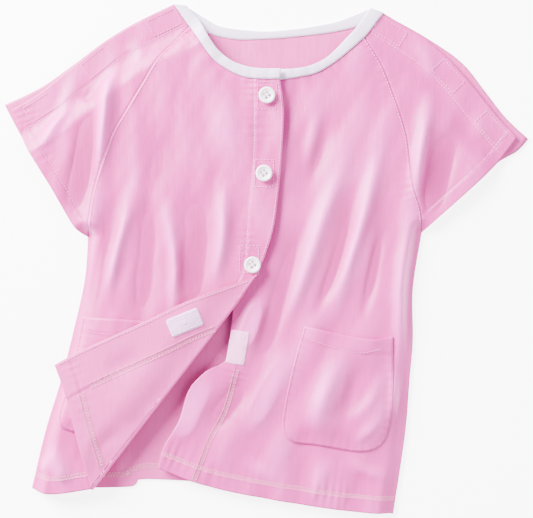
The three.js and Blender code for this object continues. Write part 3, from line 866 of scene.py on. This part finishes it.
def patch(name, centre, turn, height, long, thick, look):
    """A rounded piece of hook-and-loop tape that follows a surface."""
    wide = TAPE_WIDTH
    u = np.linspace(-1, 1, 33)
    v = np.linspace(-1, 1, 21)
    uu, vv = np.meshgrid(u, v)
    corner = 2.5
    x, y = uu * long / 2, vv * wide / 2
    ex = np.maximum(0, np.abs(x) - (long / 2 - corner))
    ey = np.maximum(0, np.abs(y) - (wide / 2 - corner))
    far = np.hypot(ex, ey) + 1e-9
    pull = np.where(far > corner, corner / far, 1)
    x = np.sign(x) * (np.minimum(np.abs(x), long / 2 - corner) + ex * pull)
    y = np.sign(y) * (np.minimum(np.abs(y), wide / 2 - corner) + ey * pull)
    c, s = math.cos(turn), math.sin(turn)
    xy = np.dstack([centre[0] + x * c - y * s, centre[1] + x * s + y * c])
    rim = np.minimum(1 - np.abs(uu), (1 - np.abs(vv)) * wide / long) * long / 2
    fuzz = 0.10 * RNG.standard_normal(rim.shape) - 0.3 * np.exp(-((rim - 1.8) / 0.6) ** 2)
    top = np.dstack([xy, height(xy) + thick * ease(rim / 0.8 + 0.3) + fuzz])
    bottom = np.dstack([xy, height(xy)])
    rows, cols = rim.shape
    count = rows * cols
    verts = np.concatenate([top.reshape(-1, 3), bottom.reshape(-1, 3)])
    faces = [tuple(reversed(f)) for f in grid_faces(rows, cols)] + grid_faces(rows, cols, count)
    around = ([(0, c) for c in range(cols)] + [(r, cols - 1) for r in range(1, rows)]
              + [(rows - 1, c) for c in range(cols - 2, -1, -1)] + [(r, 0) for r in range(rows - 2, 0, -1)])
    for (r0, c0), (r1, c1) in zip(around, around[1:] + around[:1]):
        i, j = r0 * cols + c0, r1 * cols + c1
        faces.append((i, j, j + count, i + count))
    obj = mesh_object(name, verts, faces, look)
    outward(obj)
    return obj


def tape(name, node, body, centre, turn, height, long=TAPE_LENGTH, thick=0.8, look=TAPE):
    """A patch of tape that stands for one CAD node."""
    obj = patch(name, centre, turn, height, long, thick, look)
    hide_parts(node)
    carry(obj, body)


def shoulder_place(side, spot):
    """Centre and turn of a shoulder tape at a share of the shoulder line."""
    line = L[f"shoulder_{side}"]
    i = int(spot * (len(line) - 1))
    d = line[i + 1] - line[i]
    d /= np.linalg.norm(d)
    normal = np.array([d[1], -d[0]])
    if normal[1] > 0:
        normal = -normal
    return line[i] + normal * SHOULDER_TAPE_INSET, math.atan2(d[1], d[0])


def all_tape():
    for side in ("right", "left"):
        for number, spot in enumerate(SHOULDER_SPOTS, 1):
            place, turn = shoulder_place(side, spot)
            tape(f"{side}_shoulder_hook_tape_{number}", f"{side}_shoulder_hook_{number}",
                 f"{side}_sleeve_front", place, turn, level(SHOULDER_HOOK_Z), thick=0.45)
            tape(f"{side}_shoulder_loop_tape_{number}", f"{side}_shoulder_loop_{number}", "gown_body",
                 place, turn, level(SHOULDER_LOOP_Z), thick=0.5)
    for i, (place, turn, long) in enumerate(zip(LOOPS, LOOP_TURNS, LOOP_LENGTHS)):
        tape(f"front_loop_tape_{i + 1}", f"front_loop_{i + 1}", "left_front", place, turn, z_left, long,
             look=TAPE_SOFT)
    for i, (place, turn, long) in enumerate(zip(LOOPS[:3], LOOP_TURNS, LOOP_LENGTHS)):
        tape(f"front_hook_tape_{i + 1}", f"front_hook_{i + 1}", "right_front", place, turn,
             lambda xy: z_right(xy) - 1.5, long)
    tape("front_hook_tape_4", "front_hook_4", "corner_flap", HIDDEN_BUTTON, FLAP_TAPE_TURN,
         lambda xy: z_flap(xy) + 0.1, thick=1.1)
    hidden_button_cross()


def hidden_button_cross():
    """The hidden button's thread, seen as a cross on the tape, and the tape's box stitch."""
    c = np.array([*HIDDEN_BUTTON, 0.0])
    top = float(z_flap(np.array([HIDDEN_BUTTON]))[0]) + 1.3
    arms = [((-1.8, -1.8), (1.8, 1.8)), ((-1.8, 1.8), (1.8, -1.8)), ((-1.8, 0), (1.8, 0.3)),
            ((0, -1.8), (0.2, 1.8))]
    runs = [(np.array([c + (*a, top), c + (*b, top)]), 3.0, 3.4, 0) for a, b in arms]
    box = frame_box(HIDDEN_BUTTON, FLAP_TAPE_TURN, 13.4, 6.6, lambda xy: z_flap(xy) + 1.0)
    runs += [(path, 2.6, 1.9, 0) for path in box]
    thread_piece("front_hook_tape_4_stitches", runs, THREAD_WHITE, 0.5, "corner_flap")


def overlock(line, height, width):
    """A band of looped thread: two edge lines with a zigzag between them."""
    middle = on(line, height)
    edges = [on(inset(middle[:, :2], shift), height) for shift in (-width / 2, width / 2)]
    return [(middle, 1.5, 1.4, width)] + [(edge, 2.0, 1.7, 0) for edge in edges]


def seam_stitches():
    plain = {
        "right_front": ([PLACKET_SEAM_RIGHT, inset(L["edge_right"], -1.8), inset(L["raglan_right"], 1.6)],
                        z_right),
        "left_front": ([inset(L["raglan_left"], -1.6)], z_left),
        "right_sleeve_front": ([CUFF_SEAM_RIGHT[:-8], SHOULDER_SEAM_RIGHT], z_sleeve_right),
        "left_sleeve_front": ([CUFF_SEAM_LEFT[:-8], SHOULDER_SEAM_LEFT], z_sleeve_left),
    }
    boxes = {
        "right_front": [(spot, PLACKET_TURN, 12.2, 8.4) for spot in BUTTON_BOXES],
        "right_sleeve_front": [(*shoulder_place("right", spot), 14, 7.5) for spot in SHOULDER_SPOTS],
        "left_sleeve_front": [(*shoulder_place("left", spot), 14, 7.5) for spot in SHOULDER_SPOTS],
    }
    for body, (lines, height) in plain.items():
        runs = [plain_run(line, height) for line in lines]
        for box in boxes.get(body, []):
            runs += [(path, STITCH_PITCH, STITCH, 0) for path in frame_box(*box, height)]
        thread_piece(f"{body}_stitches", runs, THREAD, 0.55, body)
    looped = {
        "right_front": [(HEM_SEAM_RIGHT, z_right, 3.2)],
        "left_front": [(PLACKET_SEAM_LEFT, z_left, 4.0), (HEM_SEAM_LEFT, z_left, 3.2)],
        "corner_flap": [(FACING_SEAM[16:-6], z_flap, 4.6), (FLAP_HEM_SEAM[16:-9], z_flap, 4.6)],
        "gown_body": [(HEM_SEAM_BACK[4:40], z_back, 4.0)],
    }
    for body, lines in looped.items():
        runs = [run for line, height, width in lines for run in overlock(line, height, width)]
        thread_piece(f"{body}_overlock", runs, THREAD_PALE, 0.42, body)
    flap_edge = inset(L["flap_edge"], 2)[3:-1]
    thread_piece("corner_flap_stitches", [plain_run(flap_edge, z_flap)], THREAD, 0.55, "corner_flap")


def button_profile(r, t):
    """Half section of a dished button of radius r and thickness t, from below round to above."""
    return [(0, 0.1), (r - 1.6, 0), (r - 0.7, 0.25), (r - 0.15, 0.8), (r, 1.3), (r - 0.2, 1.9),
            (r - 0.7, t - 0.15), (r - 1.3, t), (r - 1.9, t - 0.15), (r - 2.4, t - 0.6), (r - 3.2, t - 0.95),
            (0, t - 1.0)]


def button_mesh(name):
    segments = 48
    profile = button_profile(BUTTON_RADIUS, BUTTON_THICKNESS)
    verts = [(0, 0, profile[0][1])]
    faces = []
    for x, z in profile[1:-1]:
        verts += [(x * math.cos(2 * math.pi * k / segments), x * math.sin(2 * math.pi * k / segments), z)
                  for k in range(segments)]
    verts.append((0, 0, profile[-1][1]))
    rings = len(profile) - 2
    for k in range(segments):
        n = (k + 1) % segments
        faces.append((0, 1 + n, 1 + k))
        for r in range(rings - 1):
            faces.append((1 + r * segments + k, 1 + r * segments + n, 1 + (r + 1) * segments + n,
                          1 + (r + 1) * segments + k))
        faces.append((1 + (rings - 1) * segments + k, 1 + (rings - 1) * segments + n, len(verts) - 1))
    obj = mesh_object(name, verts, faces, BUTTON)
    outward(obj)
    drill(obj)
    return obj


def drill(obj):
    """The four sewing holes of a button."""
    for x, y in HOLES:
        bpy.ops.mesh.primitive_cylinder_add(vertices=20, radius=HOLE_RADIUS * MM, depth=10 * MM,
                                            location=(x * MM, y * MM, 0))
        cutter = bpy.context.object
        cut = obj.modifiers.new("hole", "BOOLEAN")
        cut.object = cutter
        cut.solver = "EXACT"
        bpy.context.view_layer.objects.active = obj
        with bpy.context.temp_override(object=obj, active_object=obj):
            bpy.ops.object.modifier_apply(modifier="hole")
        bpy.data.objects.remove(cutter)


def button_thread(name):
    """Two bars of three threads over the holes, and four legs down to the cloth."""
    verts, faces = [], []
    for x in (-HOLE_OFFSET, HOLE_OFFSET):
        for shift in (-0.35, 0, 0.35):
            arch = ((-1.9, 1.3), (-1.3, 2.15), (1.3, 2.15), (1.9, 1.3))
            path = [np.array((x + shift, y, z)) for y, z in arch]
            for a, b in zip(path[:-1], path[1:]):
                add_stitch(verts, faces, a, b, 0.5)
    for x, y in HOLES:
        add_stitch(verts, faces, np.array([x * 0.5, y * 0.5, -1.3]), np.array([x, y, 1.6]), 0.8)
    return mesh_object(name, verts, faces, THREAD_BUTTON)


def all_buttons():
    """Three buttons on the right front, and the hidden one face down under the turned-back corner."""
    spots = [(*spot, BUTTON_TURN) for spot in BUTTONS] + [(*HIDDEN_BUTTON, HIDDEN_BUTTON_TURN)]
    for number, (x, y, turn) in enumerate(spots, 1):
        if number == 4:
            flip, z = math.pi, HIDDEN_BUTTON_Z
        else:
            cloth_z = float(z_right(np.array([[x, y]]))[0])
            flip, z = 0, max(cloth_z, LOWEST_BUTTON_SEAT) + 1.3
        disc, thread = button_mesh(f"button_{number}_disc"), button_thread(f"button_{number}_sewing")
        for obj in (disc, thread):
            obj.rotation_euler = (flip, 0, math.radians(turn))
            obj.location = (x * MM, y * MM, z * MM)
            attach(obj, f"button_{number}")
        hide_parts(f"button_{number}")
        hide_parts(f"button_{number}_thread")


# ---------------------------------------------------------------- studio, in metres
CAMERA_HEIGHT = 1.145


def floor():
    """A large white plane just under the cloth."""
    bpy.ops.mesh.primitive_plane_add(size=6, location=(0, 0, -0.0005))
    plane = bpy.context.object
    plane.name = "floor"
    white, _, shader = principled("floor_white", (0.93, 0.93, 0.93), 0.9)
    shader.inputs["Emission Color"].default_value = (1, 1, 1, 1)
    shader.inputs["Emission Strength"].default_value = 5
    plane.data.materials.append(white)


def light(name, place, size, power):
    """A soft round light that points at the middle of the gown."""
    data = bpy.data.lights.new(name, "AREA")
    data.shape = "DISK"
    data.size = size
    data.energy = power
    obj = bpy.data.objects.new(name, data)
    obj.location = place
    obj.rotation_euler = (Vector((0, 0, 0)) - Vector(place)).to_track_quat("-Z", "Y").to_euler()
    bpy.context.scene.collection.objects.link(obj)


def studio():
    world = bpy.data.worlds.new("studio")
    bpy.context.scene.world = world
    world.use_nodes = True
    world.node_tree.nodes["Background"].inputs["Color"].default_value = (1, 1, 1, 1)
    world.node_tree.nodes["Background"].inputs["Strength"].default_value = 0.95
    light("key", (-1.5, 1.25, 1.1), 1.4, 440)
    light("fill", (1.3, -0.5, 1.5), 1.6, 45)


def camera_above():
    """The photograph's view, straight down."""
    camera = bpy.data.cameras.new("camera")
    camera.lens = 85
    camera.sensor_width = 36
    camera.dof.use_dof = False
    obj = bpy.data.objects.new("camera", camera)
    obj.location = (0, 0, CAMERA_HEIGHT)
    bpy.context.scene.collection.objects.link(obj)
    bpy.context.scene.camera = obj


floor()
back_cloth()
for gown_side in ("right", "left"):
    sleeve_back(gown_side)
    sleeve_front(gown_side)
    front_cloth(gown_side)
    pocket(gown_side)
corner_flap()
bindings()
all_tape()
seam_stitches()
all_buttons()
studio()
camera_above()
